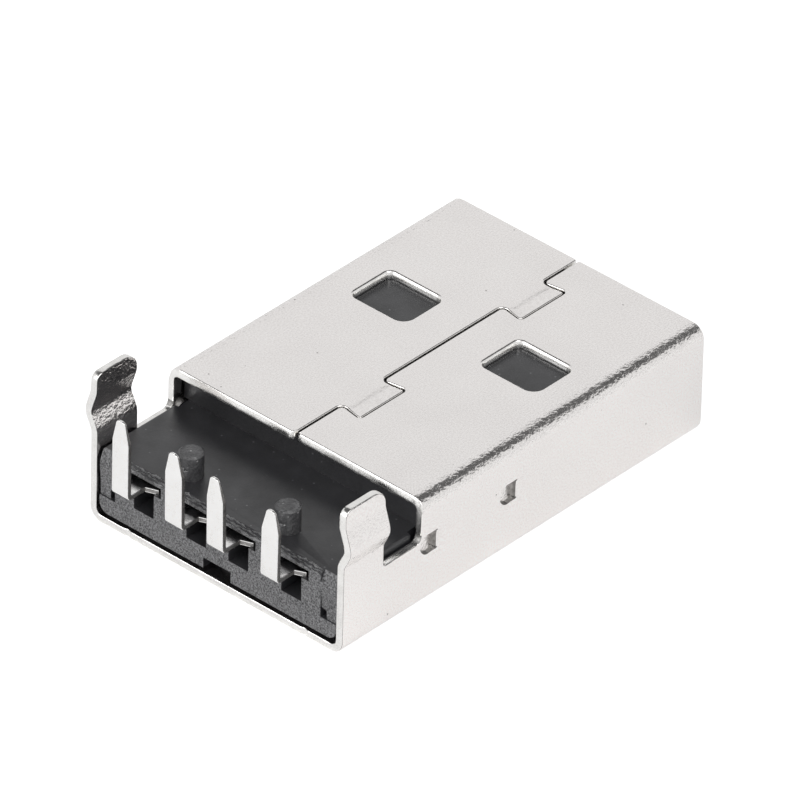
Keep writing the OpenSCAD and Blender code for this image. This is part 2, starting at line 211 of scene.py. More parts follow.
def inside(points: np.ndarray, loop: np.ndarray) -> np.ndarray:
    """Which points lie inside a loop, by counting the sides that a ray to +x crosses.

    Args:
        points: Points of shape (n, 2).
        loop: Closed loop of shape (m, 2).

    Returns:
        Array of n booleans.
    """
    x, y = points[:, 0][:, None], points[:, 1][:, None]
    x1, y1 = loop[:, 0], loop[:, 1]
    x2, y2 = np.roll(x1, -1), np.roll(y1, -1)
    spans = (y1 <= y) != (y2 <= y)
    rise = np.where(y2 == y1, 1.0, y2 - y1)
    crossing = x1 + (y - y1) * (x2 - x1) / rise
    return (np.sum(spans & (crossing > x), axis=1) % 2).astype(bool)


def on_sheet(points: np.ndarray, edges: list[np.ndarray]) -> np.ndarray:
    """Which points lie inside the first loop and outside the others.

    Args:
        points: Points of shape (n, 2).
        edges: Closed loops of shape (m, 2).

    Returns:
        Array of n booleans.
    """
    keep = inside(points, edges[0])
    for edge in edges[1:]:
        keep &= ~inside(points, edge)
    return keep


def filled(edges: list[np.ndarray], spread: np.ndarray) -> np.ndarray:
    """Delaunay triangles of the sheet between its edges.

    Args:
        edges: Closed loops, the outer one first.
        spread: More corners for the triangles, inside the sheet.

    Returns:
        Indices of shape (n, 3) into the points of all the loops and then the spread ones.

    Raises:
        ValueError: Two edges cross.
    """
    corners = np.concatenate(edges + [spread])
    sides, start = [], 0
    for edge in edges:
        ring = start + np.arange(len(edge))
        sides.append(np.column_stack((ring, np.roll(ring, -1))))
        start += len(edge)
    found = delaunay_2d_cdt(
        [Vector(p) for p in corners.tolist()], np.concatenate(sides).tolist(), [], 0, 1e-7
    )
    if len(found[0]) != len(corners):
        raise ValueError("the sheet's edges cross: the triangulation added points")
    triangles = np.array(found[2])
    return triangles[on_sheet(corners[triangles].mean(axis=1), edges)]


def far_from(points: np.ndarray, others: np.ndarray, distance: float) -> np.ndarray:
    """Which points keep a distance from all of the others.

    Args:
        points: Points of shape (n, 2).
        others: Points of shape (m, 2).
        distance: The distance to keep.

    Returns:
        Array of n booleans.
    """
    result = np.empty(len(points), bool)
    block = 512
    for start in range(0, len(points), block):
        part = points[start:start + block]
        gaps = np.sum((part[:, None, :] - others[None, :, :]) ** 2, axis=2)
        result[start:start + block] = gaps.min(axis=1) > distance * distance
    return result


def grid_faces(rows: int, columns: int, wrap: bool) -> np.ndarray:
    """Quads between the neighbouring points of a grid stored row by row.

    Args:
        rows: Number of rows.
        columns: Number of points in a row.
        wrap: Whether a row's last point joins its first.

    Returns:
        Indices of shape (quads, 4).
    """
    index = np.arange(rows * columns).reshape(rows, columns)
    if wrap:
        index = np.column_stack((index, index[:, :1]))
    quads = np.stack((index[:-1, :-1], index[:-1, 1:], index[1:, 1:], index[1:, :-1]), axis=-1)
    return quads.reshape(-1, 4)


def lattice(xs: np.ndarray, runs: np.ndarray) -> np.ndarray:
    """Every point with one of the first coordinates and one of the second.

    Args:
        xs: First coordinates.
        runs: Second coordinates.

    Returns:
        Points of shape (n, 2), row by row.
    """
    return np.stack(np.meshgrid(xs, runs), axis=-1).reshape(-1, 2)


def face_places(mesh: bpy.types.Mesh) -> tuple[np.ndarray, np.ndarray]:
    """Where the faces of a mesh lie and look.

    Args:
        mesh: The mesh.

    Returns:
        The middles in millimetres from the shell's rear edge, and the normals.
    """
    middles = np.empty(3 * len(mesh.polygons), np.float32)
    normals = np.empty_like(middles)
    mesh.polygons.foreach_get("center", middles)
    mesh.polygons.foreach_get("normal", normals)
    return (middles.reshape(-1, 3) - CAD_REAR) / MM, normals.reshape(-1, 3)


def add_piece(name: str, mesh: bpy.types.Mesh, crease: float) -> bpy.types.Object:
    """Puts a mesh in the scene, smooth shaded up to a crease angle.

    Args:
        name: The piece's name.
        mesh: Its mesh.
        crease: The angle in degrees above which an edge stays sharp.

    Returns:
        The new object.
    """
    mesh.polygons.foreach_set("use_smooth", np.ones(len(mesh.polygons), bool))
    mesh.set_sharp_from_angle(angle=math.radians(crease))
    piece = bpy.data.objects.new(name, mesh)
    bpy.context.scene.collection.objects.link(piece)
    return piece


def make_piece(
    name: str, points: np.ndarray, faces: list[np.ndarray], slots: list[int], crease: float
) -> bpy.types.Object:
    """A new piece from whole arrays.

    Args:
        name: The piece's name.
        points: Points of shape (n, 3), in millimetres from the shell's rear edge.
        faces: Arrays of point indices, each of shape (m, corners of a face).
        slots: The material slot of each of those arrays.
        crease: The angle in degrees above which an edge stays sharp.

    Returns:
        The object, with its faces outward.
    """
    mesh = bpy.data.meshes.new(name)
    everything = [row for part in faces for row in part.tolist()]
    mesh.from_pydata((points * MM + CAD_REAR).tolist(), [], everything)
    index = np.concatenate([np.full(len(part), slot) for part, slot in zip(faces, slots)])
    mesh.polygons.foreach_set("material_index", index.astype(np.int32))
    work = bmesh.new()
    work.from_mesh(mesh)
    bmesh.ops.recalc_face_normals(work, faces=work.faces)
    work.to_mesh(mesh)
    work.free()
    return add_piece(name, mesh, crease)


# ---------------------------------------------------------------- finishes


Colour = tuple[float, float, float]
Span = tuple[float, float]
Value = bpy.types.NodeSocket | float

# The vertex attribute that says how far the sheet was worked
WORKED = "worked"
# The middle part of a noise, which is stretched to a full range
NOISE_MIDDLE = (0.3, 0.7)
# Size of the flecks of tone against that of the grain
FLECK_SIZE = 0.5
# Radii in millimetres where a speck starts to fade and ends, and how strong it is
SPECK_RADII = (0.025, 0.045)
SPECK_STRENGTH = 0.8


class Finish(Enum):
    """The finishes of the plug and its stage."""

    SHEET = "nickel_plated_sheet"
    SHEARED = "sheared_sheet_edge"
    CONTACT = "tinned_contact"
    PLASTIC = "black_moulded_plastic"
    ERODED_WITH_PAINTED_SHEEN = "eroded_black_plastic_with_painted_sheen"
    FLASH = "black_plastic_flash_with_painted_highlight"
    TORN_AND_PAINTED_SHADE = "torn_sheet_and_painted_shade"
    PEG_PLASTIC_WITH_PAINTED_GLINTS = "peg_black_plastic_with_painted_glints"
    PAPER = "white_paper"


@dataclass(frozen=True)
class Surface:
    """What one finish is made of.

    Attributes:
        colour: Linear base colour at its lighter end.
        shade: The same at its darker end.
        metallic: Share of metal.
        roughness: Lowest roughness.
        roughness_spread: How far the roughness rises in its rougher patches.
        grain: Size in millimetres of the finest relief.
        grain_height: Height in millimetres of that relief.
        patch: Size in millimetres of the broader patches of tone.
        flecks: Share of the tone that follows the grain and not the patches.
        stretch: How many times longer than wide the grain is, along x.
        specular: Strength of the plain reflection.
        calm: Share of the relief that stays where the attribute worked is 0.
        speck: Colour of the specks.
        speck_gap: Distance in millimetres between specks, or 0 for none.
    """

    colour: Colour
    shade: Colour
    metallic: float
    roughness: float
    roughness_spread: float
    grain: float
    grain_height: float
    patch: float
    flecks: float = 0.5
    stretch: float = 1.0
    specular: float = 0.5
    calm: float = 1.0
    speck: Colour = (0.0, 0.0, 0.0)
    speck_gap: float = 0.0


SURFACES = {
    Finish.SHEET: Surface(
        colour=(0.978, 0.953, 0.938), shade=(0.832, 0.802, 0.787), metallic=1.0,
        roughness=0.17, roughness_spread=0.06, grain=0.12, grain_height=0.036, calm=0.22,
        patch=2.5, flecks=0.85, stretch=1.2, speck=(0.30, 0.28, 0.27), speck_gap=0.9,
    ),
    Finish.SHEARED: Surface(
        colour=(0.98, 0.97, 0.955), shade=(0.76, 0.75, 0.73), metallic=1.0,
        roughness=0.13, roughness_spread=0.12, grain=0.07, grain_height=0.004, patch=0.4,
    ),
    # Torn sheet, darker than its own dull fracture surface: the extra dark is painted shade for
    # the lances' recesses and creases. It also paints the dark line along the legs' rolled edges
    # and the contacts' stamped sides.
    Finish.TORN_AND_PAINTED_SHADE: Surface(
        colour=(0.50, 0.49, 0.48), shade=(0.16, 0.155, 0.15), metallic=1.0,
        roughness=0.38, roughness_spread=0.15, grain=0.05, grain_height=0.012, patch=0.15,
    ),
    Finish.CONTACT: Surface(
        colour=(0.99, 0.985, 0.975), shade=(0.86, 0.85, 0.84), metallic=1.0,
        roughness=0.15, roughness_spread=0.12, grain=0.10, grain_height=0.005, patch=0.5,
    ),
    Finish.PLASTIC: Surface(
        colour=(0.034, 0.034, 0.038), shade=(0.017, 0.017, 0.019), metallic=0.0,
        roughness=0.28, roughness_spread=0.12, grain=0.12, grain_height=0.004, patch=0.9,
        flecks=0.4, specular=0.8, speck=(0.15, 0.15, 0.16), speck_gap=0.42,
    ),
    # Eroded black plastic, lightened to grey with light flecks: the texture is real, but the
    # lightness is a painted sheen for the light that the rear faces catch.
    Finish.ERODED_WITH_PAINTED_SHEEN: Surface(
        colour=(0.260, 0.260, 0.268), shade=(0.006, 0.006, 0.007), metallic=0.0,
        roughness=0.40, roughness_spread=0.2, grain=0.13, grain_height=0.050, patch=0.6,
        flecks=0.9, specular=0.7,
    ),
    # Flash of the same black plastic, painted light grey: a painted highlight for the light that
    # its ridges catch.
    Finish.FLASH: Surface(
        colour=(0.420, 0.420, 0.430), shade=(0.030, 0.030, 0.032), metallic=0.0,
        roughness=0.35, roughness_spread=0.2, grain=0.06, grain_height=0.020, patch=0.25,
        flecks=0.6, specular=0.8,
    ),
    # The pegs' plastic, a little lighter than the moulding, with bright specks: painted glints of
    # their rough sides.
    Finish.PEG_PLASTIC_WITH_PAINTED_GLINTS: Surface(
        colour=(0.090, 0.090, 0.094), shade=(0.012, 0.012, 0.014), metallic=0.0,
        roughness=0.26, roughness_spread=0.2, grain=0.11, grain_height=0.035, patch=0.4,
        flecks=0.5, specular=0.9, speck=(0.5, 0.5, 0.5), speck_gap=0.3,
    ),
    Finish.PAPER: Surface(
        colour=(0.93, 0.93, 0.93), shade=(0.90, 0.90, 0.90), metallic=0.0,
        roughness=0.7, roughness_spread=0.1, grain=0.5, grain_height=0.01, patch=60.0,
    ),
}


class Graph:
    """A small hand for building one node tree. A Value is a socket to link or a number."""

    def __init__(self, tree: bpy.types.NodeTree) -> None:
        """Takes a tree in hand.

        Args:
            tree: The tree.
        """
        self.tree = tree

    def node(self, kind: str, **settings: object) -> bpy.types.Node:
        """Adds a node.

        Args:
            kind: The node's type.
            **settings: Properties of the node to set.

        Returns:
            The node.
        """
        node = self.tree.nodes.new(kind)
        for key, value in settings.items():
            setattr(node, key, value)
        return node

    def put(self, value: Value | Colour, target: bpy.types.NodeSocket) -> None:
        """Links a socket to an input socket, or sets the input.

        Args:
            value: Socket, number or colour.
            target: The input socket.
        """
        if isinstance(value, bpy.types.NodeSocket):
            self.tree.links.new(value, target)
        else:
            target.default_value = (*value, 1.0) if isinstance(value, tuple) else value

    def maths(self, operation: str, *values: Value) -> bpy.types.NodeSocket:
        """Works out one number.

        Args:
            operation: The operation of the math node.
            *values: What it works on.

        Returns:
            The socket with the result.
        """
        node = self.node("ShaderNodeMath", operation=operation)
        for value, target in zip(values, node.inputs):
            self.put(value, target)
        return node.outputs[0]

    def mapped(
        self, value: Value, source: Span, target: Span, kind: str = "LINEAR"
    ) -> bpy.types.NodeSocket:
        """Maps one range to another, and holds the ends.

        Args:
            value: What is mapped.
            source: The two ends of its range.
            target: What they become.
            kind: How the result runs between them.

        Returns:
            The socket with the result.
        """
        node = self.node("ShaderNodeMapRange", interpolation_type=kind)
        for place, number in enumerate((*source, *target), start=1):
            node.inputs[place].default_value = number
        self.put(value, node.inputs["Value"])
        return node.outputs["Result"]

    def mixed(self, share: Value, first: Value, second: Value) -> bpy.types.NodeSocket:
        """A number between two.

        Args:
            share: The share of the second, from 0 to 1.
            first: Result at share 0.
            second: Result at share 1.

        Returns:
            The socket with the result.
        """
        node = self.node("ShaderNodeMix", data_type="FLOAT")
        for value, place in ((share, 0), (first, 2), (second, 3)):
            self.put(value, node.inputs[place])
        return node.outputs[0]

    def ray(self, kind: str) -> bpy.types.NodeSocket:
        """Whether the shading is for one kind of ray.

        Args:
            kind: Camera, Glossy or Transmission.

        Returns:
            The socket, 1 for such rays and 0 for others.
        """
        return self.node("ShaderNodeLightPath").outputs[f"Is {kind} Ray"]

    def mirrored(self) -> bpy.types.NodeSocket:
        """Whether the shading is for a reflection or for what shows through a clear piece.

        Returns:
            The socket, 1 for such rays and 0 for others.
        """
        return self.maths("MAXIMUM", self.ray("Glossy"), self.ray("Transmission"))


class Shader(Graph):
    """The node tree of one finish."""

    def __init__(self, name: str) -> None:
        """Starts a material with nothing in it.

        Args:
            name: The material's name.
        """
        self.material = bpy.data.materials.new(name)
        self.material.use_nodes = True
        super().__init__(self.material.node_tree)
        self.tree.nodes.clear()

    def place(self, stretch: float) -> bpy.types.NodeSocket:
        """Object coordinates in millimetres, shortened along x by the stretch.

        Args:
            stretch: How many times longer than wide a pattern becomes.

        Returns:
            The socket with the coordinates.
        """
        where = self.node("ShaderNodeTexCoord")
        scaled = self.node("ShaderNodeMapping")
        scaled.inputs["Scale"].default_value = (1000.0 / stretch, 1000.0, 1000.0)
        self.put(where.outputs["Object"], scaled.inputs["Vector"])
        return scaled.outputs["Vector"]

    def noise(
        self, where: bpy.types.NodeSocket, size: float, detail: float
    ) -> bpy.types.NodeSocket:
        """Noise whose features have a size in millimetres.

        Args:
            where: Socket with coordinates in millimetres.
            size: Size of the features.
            detail: Octaves of finer noise on top.

        Returns:
            The socket with the noise, about 0.5.
        """
        node = self.node("ShaderNodeTexNoise")
        self.put(1.0 / size, node.inputs["Scale"])
        self.put(detail, node.inputs["Detail"])
        self.put(where, node.inputs["Vector"])
        return node.outputs["Fac"]

    def blend(
        self, share: Value, first: bpy.types.NodeSocket | Colour, second: Colour
    ) -> bpy.types.NodeSocket:
        """A colour between two.

        Args:
            share: The share of the second colour, from 0 to 1.
            first: Colour at share 0.
            second: Colour at share 1.

        Returns:
            The socket with the colour.
        """
        node = self.node("ShaderNodeMix", data_type="RGBA")
        for value, place in ((share, 0), (first, 6), (second, 7)):
            self.put(value, node.inputs[place])
        return node.outputs[2]

    def relief(
        self, height: bpy.types.NodeSocket, distance: float, calm: float
    ) -> bpy.types.NodeSocket:
        """A bump of a real height.

        Args:
            height: Socket with the height between 0 and 1.
            distance: The height in millimetres that 1 stands for.
            calm: Share of it that stays where the attribute worked is 0.

        Returns:
            The socket with the normal.
        """
        node = self.node("ShaderNodeBump")
        self.put(distance * MM, node.inputs["Distance"])
        self.put(height, node.inputs["Height"])
        if calm < 1.0:
            worked = self.node("ShaderNodeAttribute", attribute_name=WORKED)
            strength = self.mapped(worked.outputs["Fac"], (0.0, 1.0), (calm, 1.0))
            self.put(strength, node.inputs["Strength"])
        return node.outputs["Normal"]

    def specked(
        self, where: bpy.types.NodeSocket, colour: bpy.types.NodeSocket, look: Surface
    ) -> bpy.types.NodeSocket:
        """Scatters small specks over a colour, one near each point of a random lattice.

        Args:
            where: Socket with coordinates in millimetres.
            colour: Socket with the colour.
            look: The finish.

        Returns:
            The socket with the specked colour.
        """
        cells = self.node("ShaderNodeTexVoronoi")
        self.put(1.0 / look.speck_gap, cells.inputs["Scale"])
        self.put(where, cells.inputs["Vector"])
        radii = tuple(radius / look.speck_gap for radius in SPECK_RADII)
        size = self.mapped(cells.outputs["Distance"], radii, (SPECK_STRENGTH, 0.0))
        return self.blend(size, colour, look.speck)

    def surface(self, look: Surface) -> bpy.types.Material:
        """Builds the whole of one finish.

        Args:
            look: The finish.

        Returns:
            The material.
        """
        shader = self.node("ShaderNodeBsdfPrincipled")
        self.put(look.metallic, shader.inputs["Metallic"])
        self.put(look.specular, shader.inputs["Specular IOR Level"])
        plain, drawn = self.place(1.0), self.place(look.stretch)
        patches = self.noise(plain, look.patch, 4.0)
        broad = self.mapped(patches, NOISE_MIDDLE, (0.0, 1.0))
        flecks = self.noise(drawn, look.grain * FLECK_SIZE, 1.0)
        flecks = self.mapped(flecks, NOISE_MIDDLE, (0.0, 1.0))
        tone = self.mixed(look.flecks, broad, flecks)
        colour = self.blend(tone, look.colour, look.shade)
        if look.speck_gap > 0.0:
            colour = self.specked(plain, colour, look)
        self.put(colour, shader.inputs["Base Color"])
        span = (look.roughness, look.roughness + look.roughness_spread)
        self.put(self.mapped(patches, NOISE_MIDDLE, span), shader.inputs["Roughness"])
        grain = self.noise(drawn, look.grain, 2.0)
        self.put(self.relief(grain, look.grain_height, look.calm), shader.inputs["Normal"])
        output = self.node("ShaderNodeOutputMaterial")
        self.put(shader.outputs["BSDF"], output.inputs["Surface"])
        return self.material


def make_materials() -> dict[Finish, bpy.types.Material]:
    """Builds every finish once.

    Returns:
        The material of each finish.
    """
    return {finish: Shader(finish.value).surface(SURFACES[finish]) for finish in Finish}


# ---------------------------------------------------------------- shell


@dataclass
class Loop:
    """One closed edge of the sheet, in the flat plane of (x, run round the shell).

    Attributes:
        path: Points of shape (n, 2), with the sheet on their left.
        roll: Radius that the shearing leaves on the outside of the edge.
    """

    path: np.ndarray
    roll: float


@dataclass
class ShellSheet:
    """The folded shell as one sheet: each point has a place x along the plug and a run
    round it, measured in the middle of the sheet from the middle of the flat face, positive
    towards the ground contact. Bends turn the run into arcs, and every face is a copy of the
    middle surface moved along its normal.
    """

    # The folded tube
    length: float = 18.8
    width: float = 12.0
    height: float = 4.5
    sheet: float = 0.3
    floor_bend: float = 0.55
    roof_bend: float = 0.5
    roof_rear_left: float = 3.93
    roof_rear_right: float = 4.01
    # The notches in front of the legs, and the legs
    wall_top: float = 2.79
    notch_r: float = 0.3
    leg_w: float = 2.08
    leg_top: float = 6.15
    leg_foot_r: float = 0.14
    leg_rear_r: float = 0.35
    leg_front_r: float = 0.6
    kink_heights: tuple[float, float, float] = (3.75, 4.45, 5.4)
    kink_crest: float = 0.3525
    kink_round: float = 0.1
    kink_blur: float = 0.09
    leg_set: float = 0.04
    # The seam and its dovetails
    seam_gap: float = 0.085
    seam_rear_r: float = 0.17
    seam_mouth_r: float = 0.10
    tab_gap: float = 0.065
    tab_middles: tuple[float, float] = (7.45, 15.83)
    tab_root: float = 1.03
    tab_root_r: float = 0.22
    tab_flare: float = 0.17
    tab_nose_r: float = 0.14
    tab_reach: float = 1.0
    coin_depth: float = 0.035
    coin_start: float = 0.25
    # The windows, with the radius of each corner
    window_rear: float = 11.64
    window_l: float = 2.0
    window_w: float = 2.5
    window_y: float = 3.08
    window_r: tuple[float, float, float, float] = (0.25, 0.42, 0.28, 0.20)
    # The lances and the swelling round them
    lance_ends: tuple[float, float] = (4.76, 8.88)
    lance_d: float = 0.82
    lance_z: float = 2.6
    lance_depth: float = 0.2
    lance_shallow: float = 0.45
    lance_swell: float = 0.030
    swell_r: float = 0.55
    swell_w: float = 0.16
    # The nicks in the rear edge
    nick_run: float = 4.2
    nick_half: float = 0.2
    nick_depth: float = 0.045
    # The cut edges: rolled outside, sheared, and torn over a share of the sheet inside
    edge_roll: float = 0.05
    window_roll: float = 0.09
    seam_roll: float = 0.045
    rim_tilt: float = 25.0
    seam_tilt: float = 3.0
    torn_share: float = 0.33
    torn_inset: float = 0.003
    inner_break: float = 0.018
    flat_margin: float = 0.03
    # How far the side walls count as worked
    wall_worked: float = 0.35
    # The mesh
    edge_step: float = 0.14
    seam_step: float = 0.12
    flat_step: float = 0.36
    lance_step: float = 0.035
    crease: float = 40.0

    def __post_init__(self) -> None:
        """Works out where the run passes each bend."""
        half = self.sheet / 2
        self.floor_turn_r = self.floor_bend - half
        self.roof_turn_r = self.roof_bend - half
        self.floor_end = self.width / 2 - self.floor_bend
        self.wall_start = self.floor_end + self.floor_turn_r * math.pi / 2
        self.wall_end = self.wall_start + self.height - self.floor_bend - self.roof_bend
        self.roof_start = self.wall_end + self.roof_turn_r * math.pi / 2
        self.seam_run = self.roof_start + self.width / 2 - self.roof_bend
        self.leg_split = 0.5 * (self.leg_w + self.roof_rear_left)

    def run_at(self, height: float) -> float:
        """The run at a height on a wall.

        Args:
            height: Height above the flat face.

        Returns:
            The run from the middle of the flat face.
        """
        return self.wall_start + height - self.floor_bend

    def kink(self, height: np.ndarray) -> np.ndarray:
        """How far a leg stands out of its wall: a straight rise and fall between the kink's
        heights that meet in a rounded crown, each fold spread over a few hundredths.

        Args:
            height: Heights above the flat face.

        Returns:
            The distances outwards.
        """
        low, peak, high = self.kink_heights
        spread = np.linspace(-self.kink_blur, self.kink_blur, 9)
        at = height[..., None] + spread
        rise = self.kink_crest * (at - low) / (peak - low)
        fall = self.leg_set + (self.kink_crest - self.leg_set) * (high - at) / (high - peak)
        crown = 0.5 * (rise + fall - np.hypot(rise - fall, self.kink_round))
        facets = np.maximum(crown, np.where(at > peak, self.leg_set, 0.0))
        return facets.mean(axis=-1)

    def lance(self, x: np.ndarray, height: np.ndarray) -> np.ndarray:
        """How far the lances are pushed in: a ramp that starts behind and is deepest at the
        sheared front end, inside an outline that is round behind and straight in front.
        Round it the sheet swells out, as a bell curve of the distance from a ring.

        Args:
            x: Places along the plug.
            height: Heights above the flat face.

        Returns:
            The depths.
        """
        radius = self.lance_d / 2
        depth = np.zeros_like(x)
        for end in self.lance_ends:
            behind = np.maximum(end - radius - x, 0.0)
            out = np.hypot(behind, height - self.lance_z) - radius
            within = smooth_step(-out / 0.04) * (x < end)
            ramp = np.clip((x - end + self.lance_d) / self.lance_d, 0.0, 1.0)
            ramp = self.lance_shallow + (1.0 - self.lance_shallow) * ramp
            depth += self.lance_depth * within * ramp
            away = np.hypot(x - end + 0.1, height - self.lance_z + 0.1) - self.swell_r
            swell = np.exp(-((away / self.swell_w) ** 2))
            depth -= self.lance_swell * swell * (1.0 - within)
        return depth

    def placed(self, flat: np.ndarray, offset: np.ndarray | float) -> np.ndarray:
        """Folds flat points into the shell.

        Args:
            flat: Points of shape (n, 2), place along the plug and run round it.
            offset: Distance outwards from the middle of the sheet.

        Returns:
            Points of shape (n, 3).
        """
        x, run = flat[:, 0], np.abs(flat[:, 1])
        side = np.where(flat[:, 1] < 0.0, -1.0, 1.0)
        leg = x < self.leg_split
        first = np.clip((run - self.floor_end) / self.floor_turn_r, 0.0, math.pi / 2)
        second = np.clip((run - self.wall_end) / self.roof_turn_r, 0.0, math.pi / 2)
        second = np.where(leg, 0.0, second)
        top = np.where(leg, 99.0, self.wall_end)
        climb = np.clip(np.minimum(run, top) - self.wall_start, 0.0, None)
        across = np.minimum(run, self.floor_end) + self.floor_turn_r * np.sin(first)
        across -= self.roof_turn_r * (1.0 - np.cos(second))
        across -= np.where(leg, 0.0, np.maximum(run - self.roof_start, 0.0))
        up = self.sheet / 2 + self.floor_turn_r * (1.0 - np.cos(first)) + climb
        up += self.roof_turn_r * np.sin(second)
        turn = first + second
        normal = np.column_stack((np.sin(turn), -np.cos(turn)))
        slope = (self.kink(up + 0.01) - self.kink(up - 0.01)) / 0.02
        bent = unit(np.column_stack((np.ones_like(slope), -slope)))
        normal = np.where((leg & (climb > 0.0))[:, None], bent, normal)
        across += np.where(leg, self.kink(up), 0.0)
        wall = (climb > 0.0) & (second <= 0.0)
        offset = offset - np.where(wall, self.lance(x, up), 0.0)
        return np.column_stack(
            (x, side * (across + normal[:, 0] * offset), up + normal[:, 1] * offset)
        )

    def seam_edges(self) -> tuple[np.ndarray, np.ndarray]:
        """The two edges that meet at the seam, from the mouth to the rear.

        Returns:
            The edge of the half with the dovetails, and that of the half with their sockets,
            each of shape (n, 2) in x and y.
        """
        corners = [(self.length, 0.0, 0.0)]
        for middle in sorted(self.tab_middles, reverse=True):
            for sign in (1.0, -1.0):
                flare = self.tab_root + self.tab_flare
                root = (middle + sign * self.tab_root, 0.0, self.tab_root_r)
                nose = (middle + sign * flare, -self.tab_reach, self.tab_nose_r)
                corners += [root, nose] if sign > 0 else [nose, root]
        corners.append((self.roof_rear_left - 0.2, 0.0, 0.0))
        line = divided(rounded(corners, closed=False), self.seam_step, closed=False)
        near = smooth_step(1.0 + line[:, 1] / 0.15)
        half = 0.5 * (self.tab_gap + (self.seam_gap - self.tab_gap) * near)
        step = left_normals(line, closed=False) * half[:, None]
        return line - step, line + step

    def nick(self, run: float) -> list[tuple[float, float, float]]:
        """A shallow nick in the rear edge, where the blank was cut from its carrier: one
        wave of a cosine.

        Args:
            run: Its place round the sheet.

        Returns:
            Corners for the outline, in falling order of run.
        """
        waves = np.linspace(-1.0, 1.0, 15)
        depth = 0.5 * self.nick_depth * (1.0 + np.cos(math.pi * waves))
        places = run - waves * self.nick_half
        return [(x, s, 0.0) for x, s in zip(depth.tolist(), places.tolist())]

    def outline(self) -> np.ndarray:
        """The outer edge of the flat sheet, anticlockwise.

        Returns:
            Points of shape (n, 2).
        """
        tabs, sockets = self.seam_edges()
        tabs = tabs[tabs[:, 0] > self.roof_rear_left + 0.25]
        sockets = sockets[sockets[:, 0] > self.roof_rear_right + 0.25]
        gap = self.seam_gap / 2
        wall, top = self.run_at(self.wall_top), self.run_at(self.leg_top)
        corners = [(self.length, self.seam_run - gap, self.seam_mouth_r)]
        corners += [(x, self.seam_run - y, 0.0) for x, y in tabs[1:].tolist()]
        corners += [
            (self.roof_rear_left, self.seam_run - gap, self.seam_rear_r),
            (self.roof_rear_left, wall, self.notch_r),
            (self.leg_w, wall, self.leg_foot_r),
            (self.leg_w, top, self.leg_front_r),
            (0.0, top, self.leg_rear_r),
            *self.nick(self.nick_run),
            *self.nick(-self.nick_run),
            (0.0, -top, self.leg_rear_r),
            (self.leg_w, -top, self.leg_front_r),
            (self.leg_w, -wall, self.leg_foot_r),
            (self.roof_rear_right, -wall, self.notch_r),
            (self.roof_rear_right, gap - self.seam_run, self.seam_rear_r),
        ]
        corners += [(x, -self.seam_run - y, 0.0) for x, y in sockets[:0:-1].tolist()]
        corners.append((self.length, gap - self.seam_run, self.seam_mouth_r))
        return divided(rounded(corners, closed=True), self.edge_step, closed=True)

    def windows(self) -> list[np.ndarray]:
        """The edges of the four windows, clockwise.

        Returns:
            Four loops of shape (n, 2).
        """
        x1, x2 = self.window_rear, self.window_rear + self.window_l
        loops = []
        for middle in (self.window_y, self.seam_run - self.window_y):
            for side in (-1.0, 1.0):
                low, high = (side * middle + sign * self.window_w / 2 for sign in (-1.0, 1.0))
                corners = [(x1, low), (x1, high), (x2, high), (x2, low)]
                corners = [(*corner, radius) for corner, radius in zip(corners, self.window_r)]
                loops.append(divided(rounded(corners, closed=True), self.edge_step, closed=True))
        return loops

    def loops(self) -> list[Loop]:
        """Every edge of the sheet.

        Returns:
            The outline first, then the windows.
        """
        return [Loop(self.outline(), self.edge_roll)] + [
            Loop(path, self.window_roll) for path in self.windows()
        ]

    def rows(self, loop: Loop) -> tuple[np.ndarray, np.ndarray]:
        """The rows of points that carry an edge from the inner to the outer face.

        The edge is crisp inside, broken rough over the inner part of its height, sheared
        smooth above, and rolled over part of a circle into the outer face. The sheared part
        leans back by the tilt, further round the windows and behind the roof.

        Args:
            loop: The edge.

        Returns:
            Insets and offsets of shape (rows, n).
        """
        half, count = self.sheet / 2, len(loop.path)
        x, run = loop.path[:, 0], np.abs(loop.path[:, 1])
        window = loop.roll >= self.window_roll
        on_seam = run > self.seam_run - self.tab_reach - 0.3
        on_seam &= (x > self.roof_rear_right + 0.1) & (x < self.length - 0.05)
        on_seam &= not window
        roll = np.where(on_seam, self.seam_roll, loop.roll)
        roof_rear = (x > self.leg_split) & (x < self.length / 3) & (run > self.wall_end)
        slanted = (roof_rear & ~on_seam) | window
        tilt = np.radians(np.where(slanted, self.rim_tilt, self.seam_tilt))
        along = np.arange(count)
        uneven = np.sin(along * 1.7) * np.sin(along * 0.63 + 1.0)
        torn = self.torn_inset * (1.0 + uneven / 3.0)
        ones = np.ones(count)
        torn_top = ones * (self.sheet * self.torn_share - half)
        roll_foot = half - roll * (1.0 - np.sin(tilt))
        slant = (roll_foot - torn_top) * np.tan(tilt)
        margin = slant + roll * np.cos(tilt) + self.flat_margin
        inner = self.inner_break
        insets = [margin, ones * inner, torn, torn, 0.0 * ones]
        offsets = [-half * ones, -half * ones, (inner - half) * ones, torn_top - 0.03, torn_top]
        for share in (1.0, 0.75, 0.5, 0.25, 0.0):
            angle = share * (math.pi / 2 - tilt)
            insets.append(slant + roll * (np.cos(tilt) - np.sin(angle)))
            offsets.append(half - roll * (1.0 - np.cos(angle)))
        insets.append(margin)
        offsets.append(half * ones)
        return np.array(insets), np.array(offsets)

    def coined(self, flat: np.ndarray) -> np.ndarray:
        """How far the outer face of the dovetails is pressed down, past a soft fold.

        Args:
            flat: Points of shape (n, 2).

        Returns:
            The depths.
        """
        past = flat[:, 1] - self.seam_run
        return self.coin_depth * smooth_step((past - self.coin_start + 0.06) / 0.34)

